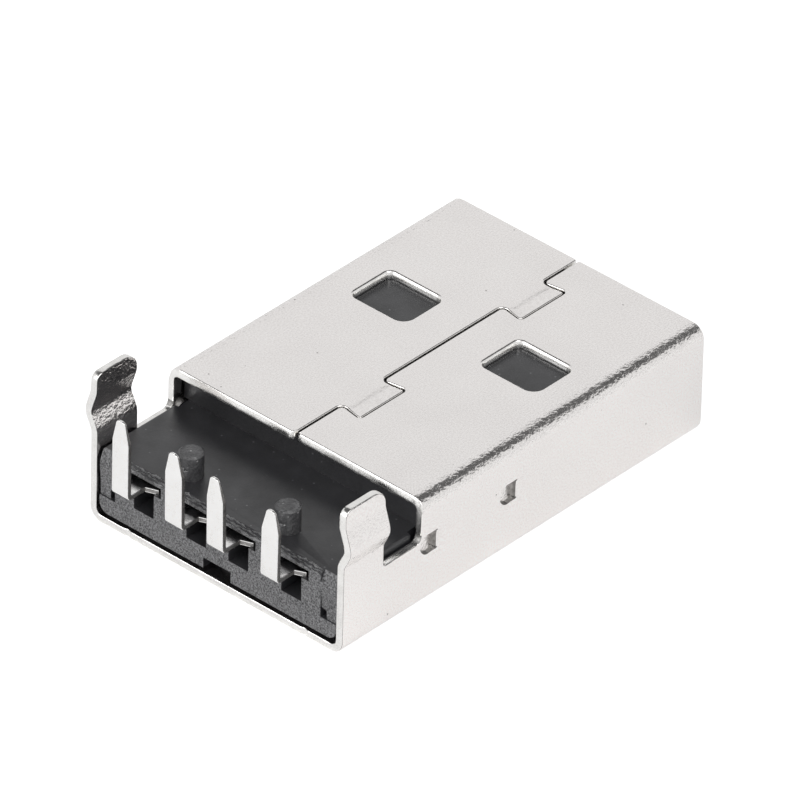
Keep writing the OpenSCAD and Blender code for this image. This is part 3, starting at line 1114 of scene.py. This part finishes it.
    def tear_and_shade(self, mesh: bpy.types.Mesh) -> None:
        """Gives the steep faces round the lances the torn finish in front and behind, and the
        sheared finish at the sides. The torn finish's dark is partly painted shade of the recess
        and its crease.

        Args:
            mesh: The sheet's mesh, with the sheared and the torn finish in its second and
                third slots.
        """
        slots = np.empty(len(mesh.polygons), np.int32)
        mesh.polygons.foreach_get("material_index", slots)
        middles, normals = face_places(mesh)
        steep = np.abs(normals[:, 1]) < 0.75
        steep &= np.abs(middles[:, 2] - self.lance_z) < 0.6 * self.lance_d
        steep &= np.abs(middles[:, 1]) > self.width / 2 - self.sheet - self.lance_depth
        for end in self.lance_ends:
            near = np.abs(middles[:, 0] - end + self.lance_d / 2) < 0.6 * self.lance_d
            # Painted shade: the steep faces in front and behind, in the lance's recess and at its
            # crease, get the dark torn finish.
            dark = (middles[:, 0] > end - 0.03) | (middles[:, 0] < end - self.lance_d / 2)
            slots[steep & near] = 1
            slots[steep & near & dark] = 2
        mesh.polygons.foreach_set("material_index", slots)

    def worked(self, points: np.ndarray) -> np.ndarray:
        """How much the sheet's grain has been opened by bending: 1 on the bends beside the
        roof and on the legs above their first fold, falling off over a third of a millimetre.

        Args:
            points: Points of shape (n, 3).

        Returns:
            Shares between 0 and 1.
        """
        across, height = np.abs(points[:, 1]), points[:, 2]
        beyond = np.minimum(
            across - (self.width / 2 - self.roof_bend), height - (self.height - self.roof_bend)
        )
        leg = (height - self.kink_heights[0] + 0.1) * (points[:, 0] < self.leg_w + 0.1)
        bent = smooth_step(1.0 + np.maximum(beyond / 0.25, np.where(leg > 0.0, 0.0, -1.0)))
        wall = smooth_step((across - self.width / 2 + self.floor_bend) / self.sheet)
        return np.maximum(bent, self.wall_worked * wall)

    def lance_points(self, end: float) -> np.ndarray:
        """Points for one lance: three crisp lines round its outline, round behind and
        straight at the sides, and a fine lattice over the rest.

        Args:
            end: Place of its sheared end.

        Returns:
            Points of shape (n, 2).
        """
        middle = self.run_at(self.lance_z)
        front = end + np.array([-0.008, 0.004, 0.06, 0.15, 0.28])
        columns = np.concatenate((np.arange(end - 1.1, end - 0.02, self.lance_step), front))
        fine = lattice(columns, middle + np.arange(-0.6, 0.61, self.lance_step))
        turn = np.radians(np.arange(90.0, 271.0, 5.0))
        back = end - self.lance_d / 2
        radii = self.lance_d / 2 + np.array([0.004, -0.02, -0.044])
        crisp = [
            np.column_stack((back + radius * np.cos(turn), middle + radius * np.sin(turn)))
            for radius in radii
        ]
        straight = np.arange(back + 0.04, end - 0.01, 0.04)
        crisp += [lattice(straight, middle + sign * radii) for sign in (-1.0, 1.0)]
        crisp = np.concatenate(crisp)
        return np.concatenate((fine[far_from(fine, crisp, 0.02)], crisp))

    def inner_points(self, edges: list[np.ndarray]) -> np.ndarray:
        """Points spread over the sheet: coarse on the flats, close on the bends, the kinks,
        the dovetails and the lances.

        Args:
            edges: The innermost row of each edge, the outline's first.

        Returns:
            Points of shape (n, 2).
        """
        coarse = np.arange(0.2, self.length, self.flat_step)
        flat_runs = np.concatenate((
            np.arange(0.0, self.floor_end, self.flat_step),
            np.linspace(self.floor_end - 0.02, self.wall_start + 0.02, 10),
            np.arange(self.wall_start + 0.2, self.wall_end - 0.1, self.flat_step),
        ))
        roof_runs = np.concatenate((
            np.linspace(self.wall_end - 0.02, self.roof_start + 0.02, 10),
            np.arange(self.roof_start + 0.2, self.seam_run + 0.2, 0.33),
        ))
        parts = [
            lattice(coarse, flat_runs),
            lattice(coarse[coarse > self.roof_rear_left], roof_runs),
            lattice(
                np.linspace(0.15, self.leg_w - 0.15, 9),
                np.arange(self.run_at(self.wall_top), self.run_at(self.leg_top), 0.06),
            ),
        ]
        for middle in self.tab_middles:
            reach = self.tab_root + self.tab_flare
            start = self.seam_run + self.coin_start
            folds = np.concatenate((
                start + np.linspace(-0.06, 0.28, 8), np.arange(start + 0.36, start + 1.0, 0.12)
            ))
            parts.append(lattice(np.arange(middle - reach, middle + reach, 0.1), folds))
        points = np.concatenate(parts)
        for end in self.lance_ends:
            middle = self.run_at(self.lance_z)
            around = np.abs(points[:, 1] - middle) < 0.62
            around &= np.abs(points[:, 0] - end + 0.4) < 0.72
            points = np.concatenate((points[~around], self.lance_points(end)))
        mirrored = points[points[:, 1] > 0.0] * np.array([1.0, -1.0])
        points = np.concatenate((points, mirrored))
        points = points[on_sheet(points, edges)]
        return points[far_from(points, np.concatenate(edges), 0.055)]

    def build(self, materials: dict[Finish, bpy.types.Material]) -> bpy.types.Object:
        """Makes the shell.

        Args:
            materials: The material of each finish.

        Returns:
            The piece.
        """
        points, faces, slots, edges, inner_ids, outer_ids = [], [], [], [], [], []
        total = 0
        for loop in self.loops():
            insets, offsets = self.rows(loop)
            aside = left_normals(loop.path, closed=True)
            row_count, count = insets.shape
            for inset, offset in zip(insets, offsets):
                flat = loop.path + aside * inset[:, None]
                low = np.where(offset > 0.0, self.coined(flat), 0.0)
                points.append(self.placed(flat, offset - low))
            quads = grid_faces(row_count, count, wrap=True) + total
            row = np.repeat(np.arange(row_count - 1), count)
            rim = (row >= 1) & (row <= 5)
            x, run = np.tile(loop.path, (row_count - 1, 1)).T
            # Painted shade: the rolled edge along the legs gets the dark torn finish, a painted
            # dark line for the dark that the roll reflects.
            painted_dark_roll = (row == 7) & (x < self.leg_w + 0.3) & (np.abs(run) > self.floor_end)
            faces += [quads[rim], quads[painted_dark_roll], quads[~rim & ~painted_dark_roll]]
            slots += [1, 2, 0]
            edges.append(loop.path + aside * insets[-1][:, None])
            inner_ids.append(total + np.arange(count))
            outer_ids.append(total + (row_count - 1) * count + np.arange(count))
            total += row_count * count
        spread = self.inner_points(edges)
        triangles = filled(edges, spread)
        half = self.sheet / 2
        points.append(self.placed(spread, -half))
        points.append(self.placed(spread, half - self.coined(spread)))
        inner = np.concatenate(inner_ids + [total + np.arange(len(spread))])
        outer = np.concatenate(outer_ids + [total + len(spread) + np.arange(len(spread))])
        faces += [inner[triangles], outer[triangles][:, ::-1]]
        slots += [0, 0]
        placed = np.concatenate(points)
        piece = make_piece("shell_sheet", placed, faces, slots, self.crease)
        worked = piece.data.attributes.new(WORKED, "FLOAT", "POINT")
        worked.data.foreach_set("value", self.worked(placed).astype(np.float32))
        for finish in (Finish.SHEET, Finish.SHEARED, Finish.TORN_AND_PAINTED_SHADE):
            piece.data.materials.append(materials[finish])
        self.tear_and_shade(piece.data)
        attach(piece, BODY)
        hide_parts("shell")
        LOG.info("shell_sheet: %d faces", len(piece.data.polygons))
        return piece


# ---------------------------------------------------------------- contacts


@dataclass
class Contact:
    """One contact: a strip that bends from a solder tail into the block and steps down to
    the tongue. Its section is a rectangle with small round corners, carried along the path
    of its lower face, while its left and right edges follow their own lines.

    Attributes:
        node: The frame's node that it stands for.
        middle: Place of its middle across the plug.
        reach: Reach of its blade from the front face of the block.
        tip_height: Height of its tail's end above the flat face.
        tip_shift: Place of the tail's end to the side of its middle.
        foot: Places of the two edges of the tail's foot to the side of its middle.
    """

    node: str
    middle: float
    reach: float
    tip_height: float
    tip_shift: float
    foot: tuple[float, float]
    thickness: float = 0.2
    tail_x: float = 0.87
    strip_z: float = 2.33
    blade_z: float = 2.2
    foot_r: float = 0.25
    tip_l: float = 0.9
    tip_half: float = 0.185
    tip_thickness: float = 0.09
    tip_r: float = 0.13
    shoulder: tuple[float, float] = (0.04, 0.22)
    strip_half: float = 0.58
    blade_half: float = 0.5
    jog: tuple[float, float] = (3.0, 3.8)
    neck: float = 4.0
    block_end: float = 9.9
    hook: tuple[float, float] = (0.5, 0.3)
    corner: float = 0.03
    step: float = 0.09
    crease: float = 50.0

    def path(self) -> np.ndarray:
        """The line of the lower face, from the tail's end to the hook.

        Returns:
            Points of shape (n, 2) in x and z.
        """
        front = self.block_end + self.reach
        corners = [
            (-self.tail_x, self.tip_height, 0.0),
            (-self.tail_x, self.strip_z, self.foot_r),
            (self.jog[0], self.strip_z, 0.25),
            (self.jog[1], self.blade_z, 0.25),
            (front - self.hook[0], self.blade_z, 0.4),
            (front, self.blade_z + self.hook[1], 0.0),
        ]
        line = divided(rounded(corners, closed=False), self.step, closed=False)
        tip = self.tip_height - np.array([0.0, 0.008, 0.025, 0.05, 0.085, self.tip_r])
        tip = np.column_stack((np.full(len(tip), -self.tail_x), tip))
        return np.concatenate((tip, line[line[:, 1] < self.tip_height - self.tip_r - 0.02]))

    def sides(self, line: np.ndarray) -> tuple[np.ndarray, np.ndarray]:
        """The left and right edges: a taper on the tail, its foot, a shoulder that slants
        out to the strip, and a straight blade. The tail's end is a quarter circle.

        Args:
            line: The path.

        Returns:
            The places of the two edges to the side of the middle.
        """
        x, z = line[:, 0], line[:, 1]
        up = self.taper(z)
        climb = np.clip((z - self.strip_z) / (self.tip_height - self.tip_l - self.strip_z), 0, 1)
        foot_left, foot_right = max(self.foot), min(self.foot)
        foot_middle, foot_half = 0.5 * (foot_left + foot_right), 0.5 * (foot_left - foot_right)
        centre = foot_middle + (self.tip_shift - foot_middle) * (0.4 * climb + 0.6 * up)
        half = foot_half + (self.tip_half - foot_half) * up
        short = np.clip(1.0 - (self.tip_height - z) / self.tip_r, 0.0, 1.0)
        half -= self.tip_r * (1.0 - np.sqrt(1.0 - short * short))
        on_tail = x < self.shoulder[0] - 0.005
        left = np.where(x < self.neck, self.strip_half, self.blade_half)
        right = np.interp(x, self.shoulder, (foot_right, -self.strip_half))
        right = np.where(x < self.neck, right, -self.blade_half)
        return np.where(on_tail, centre + half, left), np.where(on_tail, centre - half, right)

    def taper(self, height: np.ndarray) -> np.ndarray:
        """How far up the tail's taper a height lies.

        Args:
            height: Heights above the flat face.

        Returns:
            Shares from 0 at the taper's foot and below to 1 at the tail's end.
        """
        return np.clip((height - (self.tip_height - self.tip_l)) / self.tip_l, 0.0, 1.0)

    def build(self, materials: dict[Finish, bpy.types.Material]) -> bpy.types.Object:
        """Makes the contact.

        Args:
            materials: The material of each finish.

        Returns:
            The piece.
        """
        line = self.path()
        for place in (*self.shoulder, self.neck - 0.01, self.neck + 0.01):
            on_strip = line[:, 1] <= self.strip_z + 0.1
            nearest = np.argmin(np.where(on_strip, np.abs(line[:, 0] - place), np.inf))
            line[nearest, 0] = place
        left, right = self.sides(line)
        thickness = self.thickness + (self.tip_thickness - self.thickness) * self.taper(line[:, 1])
        past = np.maximum(line[:, 0] - self.block_end - self.reach + 0.25, 0.0)
        thickness = thickness - 0.25 * past
        inward = left_normals(line, closed=False)
        across, height = self.section()
        width = (left - right)[:, None]
        r = self.corner
        y = right[:, None] + r + across[:, 0] * r + across[:, 1] * (width - 2 * r)
        h = r + height[:, 0] * r + height[:, 1] * (thickness[:, None] - 2 * r)
        points = np.stack((
            line[:, 0][:, None] + inward[:, 0][:, None] * h,
            self.middle + y,
            line[:, 1][:, None] + inward[:, 1][:, None] * h,
        ), axis=-1)
        row_count, count = y.shape
        ring = np.arange(count)[None, :]
        quads = grid_faces(row_count, count, wrap=True)
        # The stamped sides get the torn finish: duller as sheared edges, and darker still as
        # painted shade.
        cut = np.tile(np.arange(count) % (count // 2) == count // 4 - 1, row_count - 1)
        faces = [quads[~cut], quads[cut], ring, (row_count - 1) * count + ring[:, ::-1]]
        name = self.node + "_strip"
        piece = make_piece(name, points.reshape(-1, 3), faces, [0, 1, 0, 0], self.crease)
        for finish in (Finish.CONTACT, Finish.TORN_AND_PAINTED_SHADE):
            piece.data.materials.append(materials[finish])
        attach(piece, BODY)
        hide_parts(self.node)
        LOG.info("%s: %d faces", piece.name, len(piece.data.polygons))
        return piece

    def section(self) -> tuple[np.ndarray, np.ndarray]:
        """The section's points round a rectangle, each corner a quarter circle.

        Returns:
            Across and up, each of shape (n, 2): a multiple of the corner's radius, and the
            share of the straight side.
        """
        turns = np.radians(np.array([0.0, 22.5, 45.0, 67.5, 90.0]))
        across, up = [], []
        for index, (side, top) in enumerate([(1.0, 0.0), (1.0, 1.0), (0.0, 1.0), (0.0, 0.0)]):
            angle = turns + (index - 1) * math.pi / 2
            across.append(np.column_stack((np.cos(angle), np.full(5, side))))
            up.append(np.column_stack((np.sin(angle), np.full(5, top))))
        return np.concatenate(across), np.concatenate(up)


# ---------------------------------------------------------------- insulator


@dataclass
class Insulator:
    """The moulded insulator: the frame's solid with its edges broken by a small radius.

    Attributes:
        edge_break: Width of the broken edges.
        rear_depth: How far the eroded rear faces, lightened with a painted sheen, reach from the
            shell's rear edge.
        peg_end: The same for the pegs, which get painted glints.
        bevel_foot: The lower edge of the board seat's bevel, in x and z.
        bevel_top: Its upper edge.
        flash_half: How far the flash reaches to each side.
        flash_places: Places of its lines across the bevel, from 0 at the foot to 1.
        flash_size: Its greatest height.
        crease: The angle in degrees above which an edge of the moulding is broken.
        flash_crease: The angle in degrees above which an edge of the flash stays sharp.
    """

    edge_break: float = 0.03
    rear_depth: float = 0.6
    peg_end: float = 2.0
    bevel_foot: tuple[float, float] = (0.09, 2.87)
    bevel_top: tuple[float, float] = (0.29, 3.05)
    flash_half: float = 4.86
    flash_places: tuple[float, ...] = (0.06, 0.42, 0.80)
    flash_size: float = 0.13
    crease: float = 35.0
    flash_crease: float = 60.0

    def flash(self, materials: dict[Finish, bpy.types.Material]) -> bpy.types.Object:
        """Makes the ragged lines of flash along the rear edge of the board seat.

        Each line is a ridge of triangular section whose height and width follow a sum of
        sines of unlike lengths, so that it thins out and swells without repeating. Its light grey
        finish is a painted highlight.

        Args:
            materials: The material of each finish.

        Returns:
            The piece.
        """
        along = np.arange(-self.flash_half, self.flash_half, 0.03)
        foot, top = np.array(self.bevel_foot), np.array(self.bevel_top)
        slope = unit(top - foot)
        outward = np.array([-slope[1], slope[0]])
        points, faces, total = [], [], 0
        for number, share in enumerate(self.flash_places):
            phase = 2.4 * number
            uneven = np.sin(along * 9.1 + phase) + np.sin(along * 23.7 - phase)
            uneven += np.sin(along * 3.3 + 2.0 * phase) + 0.7 * np.sin(along * 61.0 + phase)
            size = self.flash_size * np.clip(0.50 + 0.22 * uneven, 0.06, 1.3)
            drift = 0.018 * np.sin(along * 5.3 + phase) + 0.012 * np.sin(along * 17.0)
            middle = foot + (top - foot) * share + drift[:, None] * slope
            for across, out in ((-0.55, -0.3), (0.0, 0.75), (0.55, -0.3)):
                place = middle + size[:, None] * (across * slope + out * outward)
                points.append(np.column_stack((place[:, 0], along, place[:, 1])))
            count = len(along)
            quads = grid_faces(3, count, wrap=False) + total
            index = total + np.arange(3 * count).reshape(3, count)
            under = np.stack((index[2, :-1], index[2, 1:], index[0, 1:], index[0, :-1]), axis=-1)
            faces += [quads, under, index[:, 0][None, :], index[::-1, -1][None, :]]
            total += 3 * count
        slots = [0] * len(faces)
        piece = make_piece("seat_flash", np.concatenate(points), faces, slots, self.flash_crease)
        piece.data.materials.append(materials[Finish.FLASH])
        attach(piece, BODY)
        LOG.info("seat_flash: %d faces", len(piece.data.polygons))
        return piece

    def build(self, materials: dict[Finish, bpy.types.Material]) -> bpy.types.Object:
        """Makes the insulator.

        Args:
            materials: The material of each finish.

        Returns:
            The piece.
        """
        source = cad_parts["insulator"]
        mesh = bpy.data.meshes.new("insulator_moulding")
        work = bmesh.new()
        work.from_mesh(source.data)
        bmesh.ops.remove_doubles(work, verts=work.verts, dist=0.002 * MM)
        bmesh.ops.dissolve_limit(
            work, angle_limit=math.radians(1.0), verts=work.verts, edges=work.edges
        )
        bmesh.ops.recalc_face_normals(work, faces=work.faces)
        work.to_mesh(mesh)
        work.free()
        middles, normals = face_places(mesh)
        # The rear faces get the eroded finish, whose grey is a painted sheen on the black plastic.
        rear = (middles[:, 0] < self.rear_depth) & (normals[:, 0] < -0.8)
        # The pegs get a lighter black with bright specks, painted glints.
        pegs = (middles[:, 0] < self.peg_end) & (middles[:, 2] > self.bevel_top[1] + 0.01)
        slots = np.select([rear, pegs], [1, 2], 0).astype(np.int32)
        mesh.polygons.foreach_set("material_index", slots)
        piece = add_piece("insulator_moulding", mesh, self.crease)
        for finish in (Finish.PLASTIC, Finish.ERODED_WITH_PAINTED_SHEEN, Finish.PEG_PLASTIC_WITH_PAINTED_GLINTS):
            piece.data.materials.append(materials[finish])
        bevel = piece.modifiers.new("edge_break", "BEVEL")
        bevel.width = self.edge_break * MM
        bevel.segments = 2
        bevel.limit_method = "ANGLE"
        bevel.angle_limit = math.radians(self.crease)
        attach(piece, BODY)
        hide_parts("insulator")
        LOG.info("insulator_moulding: %d faces", len(piece.data.polygons))
        return piece


# ---------------------------------------------------------------- stage


@dataclass
class Studio:
    """The floor, the world, the lamps and the camera.

    Angles are in degrees and lengths in millimetres. The world is white behind the plug and
    in its reflections, but for two dark flags overhead, and grey as a light.
    """

    azimuth: float = -48.469
    elevation: float = 35.166
    roll: float = 1.504
    distance: float = 512.73
    target: tuple[float, float, float] = (-0.4, 0.0, 2.0)
    shift: tuple[float, float] = (0.340, 1.133)
    lens: float = 656.86
    floor_size: float = 2400.0
    flags: tuple[tuple[float, float, float], ...] = ((0.55, -0.18, 0.82), (-0.05, 0.33, 0.93))
    flag_edge: tuple[float, float] = (31.0, 23.0)
    surround: float = 1.02
    overhead: float = 0.13
    fill: float = 0.55
    floor_glow: float = 0.62
    floor_shine: float = 0.21
    floor_drop: float = 0.002
    lamp_distance: float = 300.0
    lamps: tuple[tuple[str, tuple[float, float, float], float, float], ...] = (
        ("key_lamp", (-0.4, -0.9, 1.3), 200.0, 0.25),
        ("rear_lamp", (-1.0, 0.4, 0.5), 160.0, 0.25),
    )

    def camera(self) -> None:
        """Places the camera."""
        a, e, roll = (math.radians(v) for v in (self.azimuth, self.elevation, self.roll))
        back = Vector((math.sin(a) * math.cos(e), -math.cos(a) * math.cos(e), math.sin(e)))
        right = Vector((math.cos(a), math.sin(a), 0.0))
        up = back.cross(right)
        across = math.cos(roll) * right + math.sin(roll) * up
        tall = math.cos(roll) * up - math.sin(roll) * right
        data = bpy.data.cameras.new("camera")
        data.lens, data.sensor_width = self.lens, 36.0
        data.clip_start, data.clip_end = 0.01, 20.0
        camera = bpy.data.objects.new("camera", data)
        place = Vector(self.target) + back * self.distance
        place += across * self.shift[0] + tall * self.shift[1]
        frame_axes = Matrix((across, tall, back)).transposed().to_4x4()
        camera.matrix_world = Matrix.Translation(place * MM) @ frame_axes
        bpy.context.scene.collection.objects.link(camera)
        bpy.context.scene.camera = camera

    def floor(self, paper: bpy.types.Material) -> None:
        """Lays the floor under the plug and lifts it to white where it is seen.

        Args:
            paper: Its material.
        """
        graph = Graph(paper.node_tree)
        seen = graph.maths("MULTIPLY", graph.ray("Camera"), self.floor_glow)
        glow = graph.maths("MULTIPLY_ADD", graph.mirrored(), self.floor_shine, seen)
        shader = next(node for node in graph.tree.nodes if node.type == "BSDF_PRINCIPLED")
        graph.put((1.0, 1.0, 1.0), shader.inputs["Emission Color"])
        graph.put(glow, shader.inputs["Emission Strength"])
        half = self.floor_size / 2 * MM
        mesh = bpy.data.meshes.new("floor")
        corners = [(-half, -half, 0.0), (half, -half, 0.0), (half, half, 0.0), (-half, half, 0.0)]
        mesh.from_pydata(corners, [], [(0, 1, 2, 3)])
        mesh.materials.append(paper)
        floor = bpy.data.objects.new("floor", mesh)
        floor.location.z = -self.floor_drop * MM
        bpy.context.scene.collection.objects.link(floor)
        floor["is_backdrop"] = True

    def world(self) -> None:
        """Builds the world: white to the camera, the surround with its dark flags in
        mirrors, and an even grey as a light.
        """
        world = bpy.data.worlds.new("studio")
        bpy.context.scene.world = world
        world.use_nodes = True
        graph = Graph(world.node_tree)
        graph.tree.nodes.clear()
        where = graph.node("ShaderNodeTexCoord")
        cosines = []
        for flag in self.flags:
            toward = graph.node("ShaderNodeVectorMath", operation="DOT_PRODUCT")
            toward.inputs[1].default_value = Vector(flag).normalized()
            graph.put(where.outputs["Generated"], toward.inputs[0])
            cosines.append(toward.outputs["Value"])
        edge = tuple(math.cos(math.radians(angle)) for angle in self.flag_edge)
        nearest = graph.maths("MAXIMUM", *cosines)
        span = (self.surround, self.overhead)
        mirrored = graph.mapped(nearest, edge, span, "SMOOTHSTEP")
        shaded = graph.mixed(graph.mirrored(), self.fill, mirrored)
        light = graph.node("ShaderNodeBackground")
        graph.put(graph.mixed(graph.ray("Camera"), shaded, 1.0), light.inputs["Strength"])
        output = graph.node("ShaderNodeOutputWorld")
        graph.put(light.outputs["Background"], output.inputs["Surface"])

    def lamp(
        self, name: str, direction: tuple[float, float, float], size: float, power: float
    ) -> None:
        """Hangs a square soft lamp above the plug, facing it.

        Args:
            name: The lamp's name.
            direction: The way from the plug to the lamp.
            size: Its side in millimetres.
            power: Its power in watts.
        """
        data = bpy.data.lights.new(name, "AREA")
        data.shape, data.size, data.energy = "SQUARE", size * MM, power
        lamp = bpy.data.objects.new(name, data)
        way = Vector(direction).normalized()
        lamp.location = way * self.lamp_distance * MM
        lamp.rotation_euler = way.to_track_quat("Z", "Y").to_euler()
        bpy.context.scene.collection.objects.link(lamp)

    def build(self, materials: dict[Finish, bpy.types.Material]) -> None:
        """Sets the whole stage.

        Args:
            materials: The material of each finish.
        """
        bpy.context.scene.view_settings.view_transform = "Standard"
        self.floor(materials[Finish.PAPER])
        self.world()
        self.camera()
        for lamp in self.lamps:
            self.lamp(*lamp)
        LOG.info("studio: floor, world, camera and %d lamps", len(self.lamps))


def plain(bounds: object) -> list:
    """Bounds as plain lists of numbers.

    Args:
        bounds: A number, or any nesting of sequences of numbers.

    Returns:
        The same as a list of floats or of such lists.
    """
    try:
        return [plain(part) for part in bounds]
    except TypeError:
        return float(bounds)


def main() -> None:
    """Builds the plug and its stage."""
    logging.basicConfig(level=logging.INFO, format="%(name)s: %(message)s")
    materials = make_materials()
    ShellSheet().build(materials)
    insulator = Insulator()
    insulator.build(materials)
    insulator.flash(materials)
    contacts = [
        Contact("power_contact", -3.5, 7.41, 5.35, 0.165, (0.60, -0.18)),
        Contact("data_minus_contact", -1.0, 6.41, 5.40, 0.335, (0.64, -0.12)),
        Contact("data_plus_contact", 1.0, 6.41, 5.47, 0.275, (0.63, -0.16)),
        Contact("ground_contact", 3.5, 7.41, 5.61, 0.275, (0.66, -0.10)),
    ]
    for contact in contacts:
        contact.build(materials)
    Studio().build(materials)
    {"cad": plain(CAD_BOUNDS), "scene": plain(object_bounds())}


if __name__ == "__main__":
    main()
